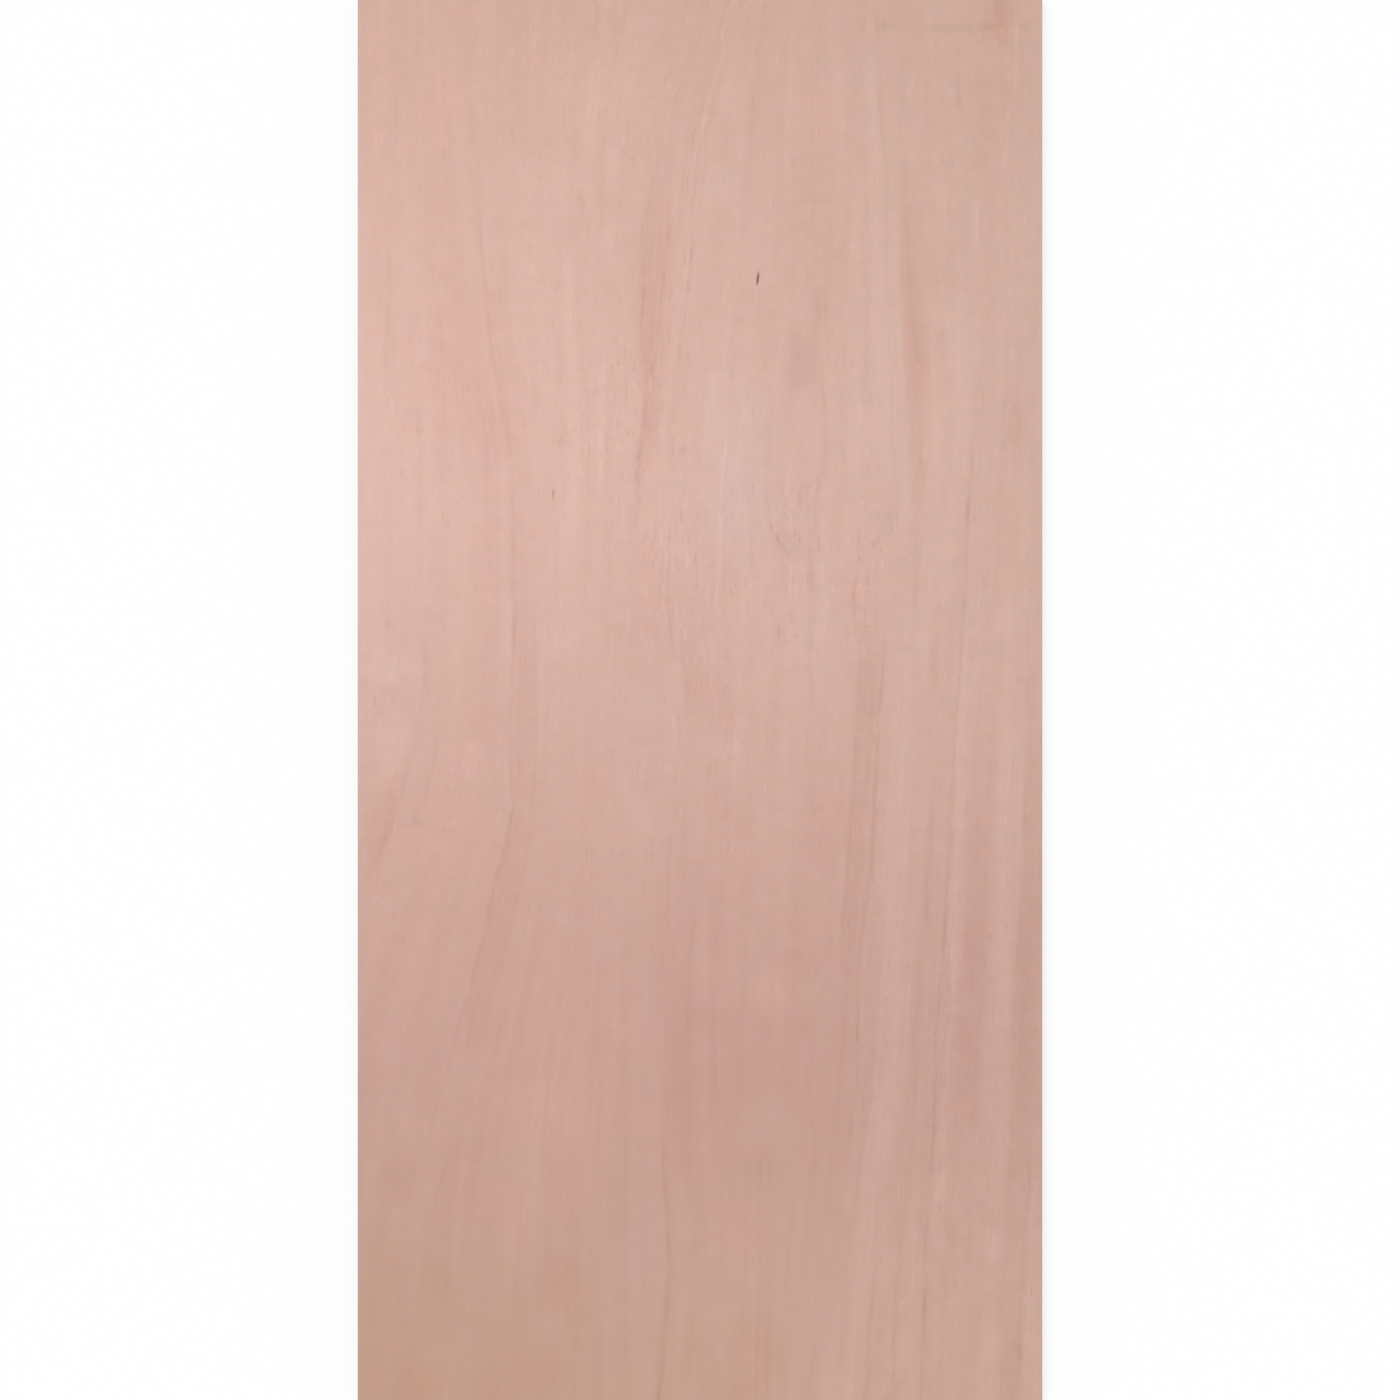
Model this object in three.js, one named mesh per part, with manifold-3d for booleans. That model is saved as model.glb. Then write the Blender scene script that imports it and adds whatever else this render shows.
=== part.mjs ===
// A plywood sheet: thin veneers glued with their grain crossed, pressed, sawn square and sanded.
// Millimetres, +Z up. The sheet lies on its back, with the face veneer on top and the face grain along Y.
// The origin is the middle of the back, on the surface that the sheet lies on.
import * as THREE from "three";
import { mergeVertices } from "three/addons/utils/BufferGeometryUtils.js";
import Module from "manifold-3d";

const sheetLength = 2500; // along the face grain
const sheetWidth = 1220;

const outerPly = 1.3; // the face and the back, thinned by sanding
const innerPly = 1.4;
const innerPlyCount = 11; // odd, so that the face and the back have the same grain direction
const sheetThickness = 2 * outerPly + innerPlyCount * innerPly;

const fibreSetback = 0.15; // how far a saw leaves the fibres that it cuts across behind those it runs along
const arris = 0.4; // the corner between a face and a sawn edge, eased by sanding
const arrisSteps = 3;

const veneerColour = 0xd1aa9d;

const wasm = await Module();
wasm.setup();

// A closed geometry as a solid that can be joined and cut. Its coordinates are rounded, so that
// plies that touch share one plane exactly.
function toSolid(geometry) {
  geometry.deleteAttribute("normal");
  geometry.deleteAttribute("uv");
  const merged = mergeVertices(geometry);
  return new wasm.Manifold(
    new wasm.Mesh({
      numProp: 3,
      vertProperties: merged.attributes.position.array.map((value) => Math.round(value * 1e4) / 1e4),
      triVerts: new Uint32Array(merged.index.array),
    }),
  );
}

function toGeometry(solid) {
  const mesh = solid.getMesh();
  const geometry = new THREE.BufferGeometry();
  geometry.setAttribute("position", new THREE.BufferAttribute(mesh.vertProperties, 3));
  geometry.setIndex(new THREE.BufferAttribute(mesh.triVerts, 1));
  geometry.computeVertexNormals();
  return geometry;
}

// The sheet's outline from above, set back from its full width and length.
function outline(sideSetback, endSetback) {
  const x = sheetWidth / 2 - sideSetback;
  const y = sheetLength / 2 - endSetback;
  return new THREE.Shape().moveTo(-x, -y).lineTo(x, -y).lineTo(x, y).lineTo(-x, y).closePath();
}

// The veneers from the back up, each with its thickness and the height of its underside.
// Every second one is crossed: its fibres run along X.
function layUp() {
  const plies = [];
  let height = 0;
  for (let i = 0; i < innerPlyCount + 2; i++) {
    const outer = i === 0 || i === innerPlyCount + 1;
    const thickness = outer ? outerPly : innerPly;
    plies.push({ height, thickness, crossed: i % 2 === 1 });
    height += thickness;
  }
  return plies;
}

// One ply as the saw leaves it. It keeps its full reach only at the two edges that run along its fibres.
function sawnPly({ height, thickness, crossed }) {
  const shape = crossed ? outline(fibreSetback, 0) : outline(0, fibreSetback);
  const geometry = new THREE.ExtrudeGeometry(shape, { depth: thickness, bevelEnabled: false });
  geometry.translate(0, 0, height);
  return toSolid(geometry);
}

// The full-size block with the corners of both faces rounded over, which is what sanding leaves.
function sandedBlock() {
  const geometry = new THREE.ExtrudeGeometry(outline(0, 0), {
    depth: sheetThickness - 2 * arris,
    bevelThickness: arris,
    bevelSize: arris,
    bevelOffset: -arris,
    bevelSegments: arrisSteps,
  });
  geometry.translate(0, 0, arris);
  return toSolid(geometry);
}

function plywoodSheet() {
  const gluedPack = layUp()
    .map(sawnPly)
    .reduce((pack, ply) => pack.add(ply));
  const veneer = new THREE.MeshStandardMaterial({
    color: veneerColour,
    roughness: 0.65,
    metalness: 0,
    flatShading: true,
  });
  const sheet = new THREE.Mesh(toGeometry(gluedPack.intersect(sandedBlock())), veneer);
  sheet.name = "plywood_sheet";
  return sheet;
}

const part = new THREE.Group();
part.add(plywoodSheet());

export default part;
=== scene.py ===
import math
from functools import lru_cache

import bmesh
import bpy
from mathutils import Euler, Matrix, Vector, noise


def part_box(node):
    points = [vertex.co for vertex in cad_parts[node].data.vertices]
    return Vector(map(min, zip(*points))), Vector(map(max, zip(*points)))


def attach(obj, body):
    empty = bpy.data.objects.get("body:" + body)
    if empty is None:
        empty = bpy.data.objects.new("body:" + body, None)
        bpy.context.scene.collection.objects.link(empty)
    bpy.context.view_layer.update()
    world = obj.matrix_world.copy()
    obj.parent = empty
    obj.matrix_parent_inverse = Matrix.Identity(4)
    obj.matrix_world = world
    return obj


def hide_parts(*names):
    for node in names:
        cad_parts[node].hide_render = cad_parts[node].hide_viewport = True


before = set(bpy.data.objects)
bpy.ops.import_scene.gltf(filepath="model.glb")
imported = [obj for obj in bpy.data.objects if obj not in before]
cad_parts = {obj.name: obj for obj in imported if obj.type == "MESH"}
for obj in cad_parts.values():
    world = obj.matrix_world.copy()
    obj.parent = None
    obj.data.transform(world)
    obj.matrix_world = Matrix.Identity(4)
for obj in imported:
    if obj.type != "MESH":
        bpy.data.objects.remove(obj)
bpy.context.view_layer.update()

low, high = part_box("plywood_sheet")
mm = 0.001
cm = 0.01
touching = 0.01 * mm
halfWidth = (high.x - low.x) / 2
halfLength = (high.y - low.y) / 2
widthInCm = 2 * halfWidth / cm
lengthInCm = 2 * halfLength / cm


def srgb(red, green, blue):
    # a screen colour as the linear colour that shaders take
    return (*[((part / 255 + 0.055) / 1.055) ** 2.4 for part in (red, green, blue)], 1.0)


# Shader values

class Value:
    # wraps one socket, so that sums and products of sockets add their Math nodes
    def __init__(self, tree, socket=None):
        self.tree = tree
        self.socket = socket

    def node(self, kind, settings=None, inputs=None, output=0):
        made = self.tree.nodes.new(kind)
        for name, setting in (settings or {}).items():
            if name == "stops":
                placeStops(made.color_ramp, setting)
            else:
                setattr(made, name, setting)
        for name, given in (inputs or {}).items():
            if isinstance(given, Value):
                self.tree.links.new(given.socket, made.inputs[name])
            else:
                made.inputs[name].default_value = given
        return Value(self.tree, made.outputs[output] if made.outputs else None)

    def other(self, output):
        # another output of the node that this value comes from
        return Value(self.tree, self.socket.node.outputs[output])

    def math(self, operation, *values):
        return self.node("ShaderNodeMath", {"operation": operation}, dict(enumerate((self, *values))))

    def __add__(self, other):
        return self.math("ADD", other)

    def __sub__(self, other):
        return self.math("SUBTRACT", other)

    def __rsub__(self, other):
        return self.node("ShaderNodeMath", {"operation": "SUBTRACT"}, {0: other, 1: self})

    def __mul__(self, other):
        return self.math("MULTIPLY", other)

    __radd__ = __add__
    __rmul__ = __mul__

    def size(self):
        return self.math("ABSOLUTE")

    def atLeast(self, limit):
        return self.math("MAXIMUM", limit)

    def rise(self, start, end, first=0.0, last=1.0):
        # goes smoothly from the first value, before start, to the last one, after end
        limits = {"Value": self, "From Min": start, "From Max": end, "To Min": first, "To Max": last}
        return self.node("ShaderNodeMapRange", {"interpolation_type": "SMOOTHSTEP"}, limits)

    def fall(self, start, end):
        return self.rise(start, end, 1.0, 0.0)

    def ramp(self, stops):
        return self.node("ShaderNodeValToRGB", {"stops": stops}, {"Fac": self})

    def blend(self, first, last):
        # a colour that goes from the first, at 0 and below, to the last, at 1 and above
        return self.node("ShaderNodeMix", {"data_type": "RGBA"}, {0: self, 6: first, 7: last}, 2)

    def vector(self, operation, *values):
        return self.node("ShaderNodeVectorMath", {"operation": operation}, dict(enumerate((self, *values))))

    def length(self):
        return self.vector("LENGTH").other("Value")

    def parts(self):
        # the three numbers of a place
        first = self.node("ShaderNodeSeparateXYZ", None, {0: self})
        return first, first.other(1), first.other(2)

    def shaded(self, amount):
        # this colour times a number
        return self.node("ShaderNodeVectorMath", {"operation": "SCALE"}, {0: self, "Scale": amount})

    def mapped(self, scale, location=(0, 0, 0)):
        return self.node("ShaderNodeMapping", None, {"Vector": self, "Location": location, "Scale": scale})

    def noise(self, across, along, seed, detail=2.0):
        # from about -1 to 1, with patches of this size in the units of the coordinates
        place = self.mapped((1 / across, 1 / along, 1), (seed, seed, 0))
        inputs = {"Vector": place, "Scale": 1.0, "Detail": detail, "Roughness": 0.5}
        return self.node("ShaderNodeTexNoise", {"noise_dimensions": "2D"}, inputs) * 2.0 - 1.0


def placeStops(ramp, stops):
    # a smooth curve through the stops
    ramp.interpolation = "CARDINAL"
    while len(ramp.elements) > 1:
        ramp.elements.remove(ramp.elements[-1])
    ramp.elements[0].position, ramp.elements[0].color = stops[0]
    for position, colour in stops[1:]:
        ramp.elements.new(position).color = colour


def newMaterial(name):
    material = bpy.data.materials.new(name)
    material.use_nodes = True
    material.node_tree.nodes.clear()
    return material, Value(material.node_tree)


def grainMap(start, scale):
    return start.node("ShaderNodeUVMap", {"uv_map": "grain"}).mapped(scale)


def closeMaterial(start, look, colour, roughness, height):
    # every wood surface ends in one Principled shader with a bump
    bump = start.node("ShaderNodeBump", None, {"Height": height, "Distance": look["depth"], "Strength": 1.0})
    inputs = {"Base Color": colour, "Roughness": roughness, "Normal": bump,
              "Specular IOR Level": look["specular"]}
    shader = start.node("ShaderNodeBsdfPrincipled", None, inputs)
    start.node("ShaderNodeOutputMaterial", None, {"Surface": shader})


# The course of the face grain. Each grain line is named by a reference distance from the left edge, and
# runs through points given as (down from the top, across from the left edge), all in centimetres.

grainCourse = {
    11: [(0, 10), (36, 10.6), (72, 11.6), (93, 12.7), (116, 11.8), (134, 9.6), (152, 4.6),
         (172, -3.4), (205, -11.5), (250, -11.5)],
    23: [(0, 18.6), (27, 20.7), (62, 24.1), (79, 26.6), (111, 28.1), (148, 26.6), (172, 21.1),
         (206, 12.1), (250, 6.1)],
    51: [(0, 61.9), (20, 56.3), (46, 53.3), (83, 50.5), (125, 48.8), (200, 47.7), (250, 48.1)],
    57: [(0, 67.2), (22, 61.5), (54, 57.8), (99, 54.7), (130, 56.9), (178, 54.2), (206, 54),
         (229, 55.4), (250, 53.6)],
    73: [(0, 77.4), (50, 76.4), (84, 73.2), (104, 73.9), (156, 71), (250, 70.5)],
    81.5: [(0, 82.8), (54, 82.8), (78, 83.9), (107, 81), (180, 80), (250, 75)],
    87: [(0, 88.2), (36, 89.6), (80, 90.1), (134, 88.4), (178, 86.2), (225, 82), (250, 78.7)],
    91: [(0, 91), (50, 94.2), (104, 94.8), (143, 91.9), (182, 89.8), (250, 81.4)],
    97: [(0, 95.5), (54, 97.8), (80, 100.2), (128, 99), (180, 96.4), (250, 90.3)],
    106: [(0, 106.6), (43, 110.4), (60, 110.7), (106, 108.4), (159, 104.8), (214, 101.9), (250, 100.3)],
    111.5: [(0, 114.6), (30, 115.4), (68, 114.8), (144, 110.8), (250, 104.8)],
    118: [(0, 120), (36, 120.4), (90, 119.6), (182, 117.2), (250, 113.8)],
}


def alongCourse(points, down):
    # a smooth curve through the points of one grain line
    last = len(points) - 1
    after = max(1, next((i for i, point in enumerate(points) if point[0] > down), last))

    def slope(i):
        (startDown, startAcross), (endDown, endAcross) = points[max(i - 1, 0)], points[min(i + 1, last)]
        return (endAcross - startAcross) / (endDown - startDown)

    startDown, startAcross = points[after - 1]
    endDown, endAcross = points[after]
    step = endDown - startDown
    part = (down - startDown) / step
    bend = part * (1 - part) * ((1 - part) * slope(after - 1) - part * slope(after))
    return startAcross + (3 * part**2 - 2 * part**3) * (endAcross - startAcross) + step * bend


@lru_cache(maxsize=None)
def grainLines(down):
    return [(alongCourse(points, down), home) for home, points in grainCourse.items()]


def onFace(x, y):
    # how far a point is across and down the face, in centimetres
    return (x - low.x) / cm, (high.y - y) / cm


def faceGrain(x, y):
    # the grain line through a point of the face, and how far down it the point is, in metres
    across, down = onFace(x, y)
    lines = grainLines(round(down, 2))
    right = next((i for i, line in enumerate(lines) if line[0] >= across), len(lines))
    if right in (0, len(lines)):  # beyond the outermost line the grain runs beside it
        place, home = lines[min(right, len(lines) - 1)]
        return (home + across - place) * cm, down * cm
    (leftPlace, leftHome), (rightPlace, rightHome) = lines[right - 1], lines[right]
    part = (across - leftPlace) / (rightPlace - leftPlace)
    return (leftHome + part * (rightHome - leftHome)) * cm, down * cm


# Meshes

sheet = {
    "outerPly": 1.3 * mm,
    "innerPly": 1.4 * mm,
    "innerPlies": 11,
    "fibreSetback": 0.15 * mm,
    "arris": 0.4 * mm,
    "arrisSteps": 3,
    "glueLine": 0.1 * mm,
    "glueWave": 0.07 * mm,
}
coreBottom = low.z + sheet["outerPly"]
coreTop = high.z - sheet["outerPly"]
veneerReach = (halfWidth, halfLength - sheet["fibreSetback"])

# where a veneer's colours are baked: the start and reach of each part of its map, and the step from one
# sawn edge's strip to the next
veneerBake = {"width": (0.004, 0.992), "shown": (0.09, 0.904), "glued": (0.072, 0.01),
              "edge": (0.008, 0.008), "edgeStep": 0.016}


def runsAlong(edge, axis):
    return abs((edge.verts[1].co - edge.verts[0].co).normalized()[axis]) > 0.9


def gridSlab(bottom, top, reach, cells):
    # a block cut into an even grid of cells
    size = Matrix.Diagonal((2 * reach[0], 2 * reach[1], top - bottom, 1))
    bm = bmesh.new()
    bmesh.ops.create_cube(bm, size=1, matrix=Matrix.Translation((0, 0, (bottom + top) / 2)) @ size)
    for axis in (0, 1):
        edges = [e for e in bm.edges if runsAlong(e, axis)]
        bmesh.ops.subdivide_edges(bm, edges=edges, cuts=cells[axis] - 1)
    return bm


def easeArris(bm, level):
    # rounds the corner between a face and its sawn edges
    def onLevel(face):
        return abs(face.normal.z) > 0.9 and abs(face.calc_center_median().z - level) < touching

    bm.normal_update()
    edges = [e for e in bm.edges if sum(onLevel(face) for face in e.link_faces) == 1]
    bmesh.ops.bevel(bm, geom=edges, offset=sheet["arris"], affect="EDGES", segments=sheet["arrisSteps"],
                    profile=0.5, material=-1)


def wallOf(face):
    # the axis that a sawn edge's face looks along, or None on the flat sides
    if abs(face.normal.z) > 0.3:
        return None
    return 0 if abs(face.normal.x) > abs(face.normal.y) else 1


def sheetPart(x, y):
    # how far across and along the sheet a point is, from 0 to 1
    return (x - low.x) / (2 * halfWidth), (y - low.y) / (2 * halfLength)


def spread(span, part):
    start, reach = span
    return start + reach * part


def layVeneerMaps(bm, ply, grainOf, upward):
    # the grain map, and the map that the colours are baked through: the shown side, then four strips
    # for the sawn edges and one for the glued side
    grain = bm.loops.layers.uv.new("grain")
    bake = bm.loops.layers.uv.new("OFBake")
    bottom = min(v.co.z for v in bm.verts)
    bm.normal_update()
    for face in bm.faces:
        wall = wallOf(face)
        side = veneerBake["shown" if face.normal.z * upward > 0 else "glued"]
        for loop in face.loops:
            x, y, z = loop.vert.co
            if wall is None:
                across, along = sheetPart(x, y)
                loop[grain].uv = grainOf(x, y)
                loop[bake].uv = (spread(veneerBake["width"], across), spread(side, along))
            else:
                along, up = (y, x)[wall], (z - bottom) / sheet["outerPly"]
                loop[grain].uv = (along, ply + up)
                strip = 2 * wall + (face.normal[wall] > 0)
                part = (along / (halfLength, halfWidth)[wall] + 1) / 2
                loop[bake].uv = (spread(veneerBake["width"], part),
                                 veneerBake["edgeStep"] * strip + spread(veneerBake["edge"], up))
        face.material_index = 0 if wall is None else 1 + wall


def addObject(name, data):
    made = bpy.data.objects.new(name, data)
    bpy.context.scene.collection.objects.link(made)
    return made


def addMesh(bm, name, materials):
    mesh = bpy.data.meshes.new(name)
    bm.to_mesh(mesh)
    bm.free()
    for material in materials:
        mesh.materials.append(material)
    return addObject(name, mesh)


def finishPiece(bm, name, materials):
    piece = addMesh(bm, name, materials)
    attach(piece, "root")
    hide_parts("plywood_sheet")
    print(f"{name}: {len(piece.data.polygons)} faces")


# The face veneer: one rotary-cut leaf with its grain along Y. Distances are in centimetres.

faceVeneer = {
    "cells": (50, 75),
    "shownCuts": (3, 1),  # further cuts of the shown side, which carries the bands and zones of colour
    "roughness": 0.62,
    "specular": 0.25,
    "depth": 0.012 * mm,
    "rimReach": 1.0,  # how far in from the long edges handling has dulled the veneer
    "rimGrey": 0.2,
    "step": 0.0055,  # how much of a linear colour one step of strength is
    "strongest": 12.0,  # no streak is stronger than this
    # the tone from top to bottom, at the left and at the right edge, lightest some 74 cm down at the left
    # and darker towards the bottom: down, then the screen colour
    "leftTones": [(0, 213, 173, 158), (74, 224, 184, 171), (115, 217, 178, 166), (155, 208, 167, 153),
                  (192, 200, 159, 146), (250, 193, 154, 134)],
    "rightTones": [(0, 204, 167, 152), (42, 208, 172, 158), (130, 207, 169, 156), (184, 198, 158, 146),
                   (250, 202, 164, 148)],
    # how far one step of each hue moves red, green and blue
    "hues": {
        "grey": (1, 1, 1), "smoke": (1.3, 1, 0.88), "cool": (0.9, 1.05, 1.08), "brown": (0.85, 1.1, 1.05),
        "rust": (0.7, 1.15, 1.15), "red": (0.6, 1.2, 1.15), "olive": (1.1, 0.9, 1.1), "amber": (0.2, 0.8, 2),
        "warm": (1.5, 0.9, 0.6), "rose": (1.6, 0.35, 0.2), "mauve": (1.3, 1, 0.3), "moss": (1.4, 0.7, 1),
    },
    # streaks along the grain: hue, width, softness, then points down the sheet with their place across
    # and their strength, which is below zero where the streak is darker
    "lines": [
        ("smoke", 0.7, 0.8, [(9, 19.7, 0), (18, 20, -1.8), (27, 21.1, -2), (36, 21.6, -2.5),
         (45, 22, -3.5), (49, 22.5, -4.4), (58, 23.4, -4), (67, 24.7, -3), (76, 26.5, -3),
         (80, 27.2, -3.5), (85, 27.5, -3.5), (89, 27.5, -3), (98, 27.7, -3.5), (103, 27.7, -5),
         (109, 28.1, -7), (116, 27.7, -5), (125, 27.3, -5), (134, 27.2, -4.5), (143, 27.3, -6),
         (149, 26.8, -6.5), (154, 25.6, -5.5), (158, 24.3, -5.5), (165, 22.9, -6.5), (170, 21.6, -4.5),
         (179, 19.1, -2.4), (187, 17, -4), (192, 15.7, -1.6), (197, 14.1, -2), (204, 12.7, 0)]),
        ("smoke", 0.7, 0.7, [(204, 17.3, 0), (208, 15.7, -2.5), (212, 14.6, -2.5), (220, 13.2, -1.5),
         (225, 12.3, -2.5), (229, 11.6, 0)]),
        ("smoke", 1.3, 1.3, [(112, 11.2, 0), (115, 11.6, -4), (119, 12.1, -3), (123, 12.1, -4.5),
         (129, 11.1, -3.5), (135, 9.6, -3), (141, 7.8, -3.5), (146, 6.4, -1.5), (149, 5.2, -2.5),
         (154, 3.7, -1), (157, 2.7, 0)]),
        ("smoke", 0.7, 0.8, [(129, 14.6, 0), (133, 14.1, -4), (137, 13.4, -2.5), (143, 11.6, -1.5),
         (146, 10, -2.5), (150, 8.7, 0)]),
        ("smoke", 0.9, 0.9, [(43, 5.7, 0), (47, 5.7, -3.5), (52, 5.5, -3), (58, 5.3, -3.8),
         (62, 5.3, -2.5), (67, 5.2, -2), (71, 5, 0)]),
        ("smoke", 0.7, 0.7, [(71, 11.1, 0), (75, 11.1, -2.5), (81, 11.4, -2.5), (85, 11.4, -1),
         (93, 11.1, -2.5), (96, 11.1, 0)]),
        ("grey", 0.9, 0.9, [(63, 43.6, 0), (67, 43.6, 4), (85, 43.3, 4), (90, 43.1, 0)]),
        ("smoke", 1.1, 0.8, [(27, 53.8, 0), (30, 53.1, -3), (35, 52, -2), (41, 51, -3), (47, 50.6, -3.5),
         (59, 50.8, -3), (66, 51.1, -2.5), (71, 51.1, -2), (76, 50.8, -3.5), (78, 50.4, -3.5),
         (80, 50.2, -6), (83, 50.1, -4.5), (85, 49.9, -8), (87, 50.1, -7.5), (91, 49.7, -5),
         (95, 49.2, -3), (98, 48.8, 0)]),
        ("rust", 0.9, 0.9, [(34, 56, 0), (37, 55.8, -3), (42, 55.6, -6), (45, 55.4, -3), (50, 54.7, -3),
         (58, 54, -3.5), (62, 54.2, -3.5), (69, 53.6, -3), (71, 53.1, -1.5), (77, 52.2, -1),
         (80, 51.7, 0)]),
        ("cool", 0.7, 0.6, [(0, 67.2, 3), (2, 66.3, 4.5), (4, 65.8, 4.5), (6, 64.9, 4.5), (8, 65.1, 4),
         (12, 64.7, 3.5), (16, 63.1, 2), (20, 61.9, 4.5), (23, 61.5, 4), (27, 61, 1.5), (34, 60.4, 1),
         (41, 59.7, 2), (50, 58.5, 1.5), (54, 58.1, 0)]),
        ("smoke", 0.7, 0.7, [(16, 63.8, 0), (23, 62.4, -2), (29, 60.6, -3), (36, 59.9, -3.5),
         (44, 59.4, -3), (51, 59, -4), (57, 57.9, -3), (62, 57.4, -3.5), (66, 57, -2), (71, 56.3, -2.5),
         (77, 56.1, -3), (83, 56, -2.5), (89, 55.6, -1.5), (97, 55.4, -3), (103, 55.3, -4),
         (109, 55.4, -4), (114, 56, -3.5), (117, 56.3, -2.5), (121, 56.9, 0)]),
        ("cool", 0.5, 0.6, [(88, 55.1, 0), (91, 55.1, 3.5), (100, 54.9, 3), (110, 54.9, 3.5),
         (112, 55.3, 0)]),
        ("smoke", 0.7, 0.6, [(97, 54.5, 0), (100, 54.2, -3.5), (107, 54, -3.5), (112, 54.4, 0)]),
        ("smoke", 0.9, 0.9, [(110, 57.9, 0), (112, 57.8, -3), (119, 57.9, -1.5), (121, 58.3, -2),
         (125, 58.7, -1.5), (128, 58.8, 0)]),
        ("smoke", 0.8, 0.9, [(125, 56.5, 0), (130, 57.2, -5), (132, 57.2, -4.5), (136, 56.9, -1.5),
         (138, 56.5, -3.5), (143, 56.3, -2), (148, 56, -2), (153, 55.4, -2.5), (157, 55.3, -4),
         (163, 54.9, -2.5), (170, 54.5, -2.6), (176, 54.4, -1.8), (184, 54, -1), (197, 54.2, -1.8),
         (204, 54.4, -1.8), (206, 54.5, -3), (215, 55.1, -3.2), (226, 55.4, -4), (230, 55.3, -4),
         (236, 54.9, -4.5), (240, 54.4, -5.5), (246, 54, -6), (250, 53.5, -6)]),
        ("cool", 0.7, 0.6, [(71, 66.2, 0), (76, 66, 6.5), (79, 65.6, 6.5), (83, 65.1, 5.5), (89, 64.9, 4),
         (96, 64.6, 4.5), (103, 64.4, 5), (107, 63.8, 2), (110, 63.7, 0)]),
        ("cool", 1.3, 0.9, [(64, 63.1, 0), (69, 63.1, 4), (73, 62.9, 4), (77, 62.1, 3.5), (81, 61.9, 2),
         (86, 61.7, 0)]),
        ("cool", 0.9, 0.7, [(112, 63.1, 0), (115, 63.3, 3.2), (125, 63.7, 3.2), (131, 63.8, 3),
         (138, 64, 0)]),
        ("smoke", 0.7, 0.8, [(68, 74.4, 0), (71, 73.9, -3), (79, 73.5, -4), (83, 73.1, -4), (90, 73, -4.5),
         (93, 73.3, -4.5), (95, 74, -7), (97, 75.1, -7.5), (99, 76.7, -4.5), (101, 78, 0)]),
        ("smoke", 1.1, 1.1, [(66, 83, 0), (70, 83, -3.5), (73, 83.5, -4), (79, 83.5, -4.5), (85, 83, -4.5),
         (89, 81.9, -2), (93, 81.6, -2.5), (98, 81, -3.5), (104, 80.8, -4), (109, 81, -1.5),
         (114, 80.8, -1.5), (121, 80.8, -3.5), (126, 81.2, -3.5), (129, 81.6, 0)]),
        ("smoke", 0.5, 0.6, [(16, 92.8, 0), (19, 93, -3), (21, 93.2, -1.5), (26, 93.5, -3.5),
         (30, 93.9, -1), (34, 94.1, -3), (38, 93.9, -1.5), (45, 94.1, -4.5), (49, 94.3, -2.5),
         (55, 94.6, -2.5), (62, 94.8, -2.5), (71, 95.1, -3.5), (77, 95.1, -3), (81, 95.5, -3.5),
         (86, 96, 0)]),
        ("rust", 0.9, 0.9, [(30, 97.7, 0), (34, 97.7, -1), (43, 98, -1), (54, 98.5, -1), (62, 99.1, -2),
         (72, 99.8, -4), (76, 100, -3.5), (80, 100.3, -5), (85, 100, -5.5), (89, 100, -2.5),
         (95, 100, -1.5), (101, 99.8, -3.5), (107, 99.4, -2.5), (111, 99.3, 0)]),
        ("smoke", 0.7, 0.8, [(100, 89.8, 0), (104, 88.7, -4), (109, 88.4, -4), (114, 89.1, -1.5),
         (123, 89.1, -2.5), (130, 88.7, -2.5), (139, 88.4, -3), (146, 87.8, -3.5), (152, 87.6, -3),
         (157, 87.3, -2.5), (165, 86.9, -2), (171, 86.6, 0)]),
        ("smoke", 0.7, 0.7, [(112, 94.1, 0), (115, 93.9, -4), (119, 93.7, -4), (125, 93.2, -4.5),
         (132, 92.8, -3.5), (139, 92.5, -4.5), (146, 91.9, -4.5), (152, 91.8, -4), (157, 91.2, -3),
         (166, 90, -2), (175, 89.4, -1.5), (181, 89.2, -3.5), (185, 89.2, -6), (188, 89.1, -5),
         (196, 88.7, -1.5), (201, 87.8, -4), (204, 87.6, -3), (207, 86.9, -1), (210, 86.4, 0)]),
        ("smoke", 0.7, 0.7, [(205, 93.7, 0), (211, 93, -2), (216, 92.6, -2.5), (223, 92.1, -2),
         (228, 91.9, -3.8), (232, 91.8, -3), (237, 91.2, -3.2), (243, 90.9, -3), (250, 90.3, -3)]),
        ("smoke", 0.5, 0.7, [(235, 95.9, 0), (237, 95.7, -2.8), (241, 95.5, -2.5), (244, 95.3, 0)]),
        ("smoke", 0.7, 0.7, [(239, 81.4, 0), (242, 81, -2.8), (249, 80.3, -2.8), (250, 80.1, -2)]),
        ("smoke", 0.7, 0.7, [(186, 64, 0), (188, 64, -2.6), (196, 64, -2.3), (199, 64, 0)]),
        ("smoke", 0.7, 0.6, [(35, 111.1, 0), (38, 111.1, -2.5), (43, 110.9, -2.5), (48, 110.9, -1),
         (52, 110.9, -3.2), (60, 111.1, -2), (68, 110.7, -2.5), (72, 110, -3), (78, 109.5, -3.5),
         (85, 109.3, -4.5), (89, 108.9, -6.5), (94, 108.7, -8.5), (97, 108.7, -6), (103, 108.4, -3),
         (107, 108.2, -5), (114, 107.7, -5), (120, 107.3, -3.5), (131, 106.4, -3.8), (138, 106.1, -3),
         (145, 105.5, -4), (155, 105, -3), (167, 104.5, -5), (174, 104.1, -5.5), (184, 103, -4.5),
         (192, 103, -5), (198, 102.7, -5.5), (204, 102.5, -5), (210, 101.9, -2.8), (214, 101.6, 0)]),
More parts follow.
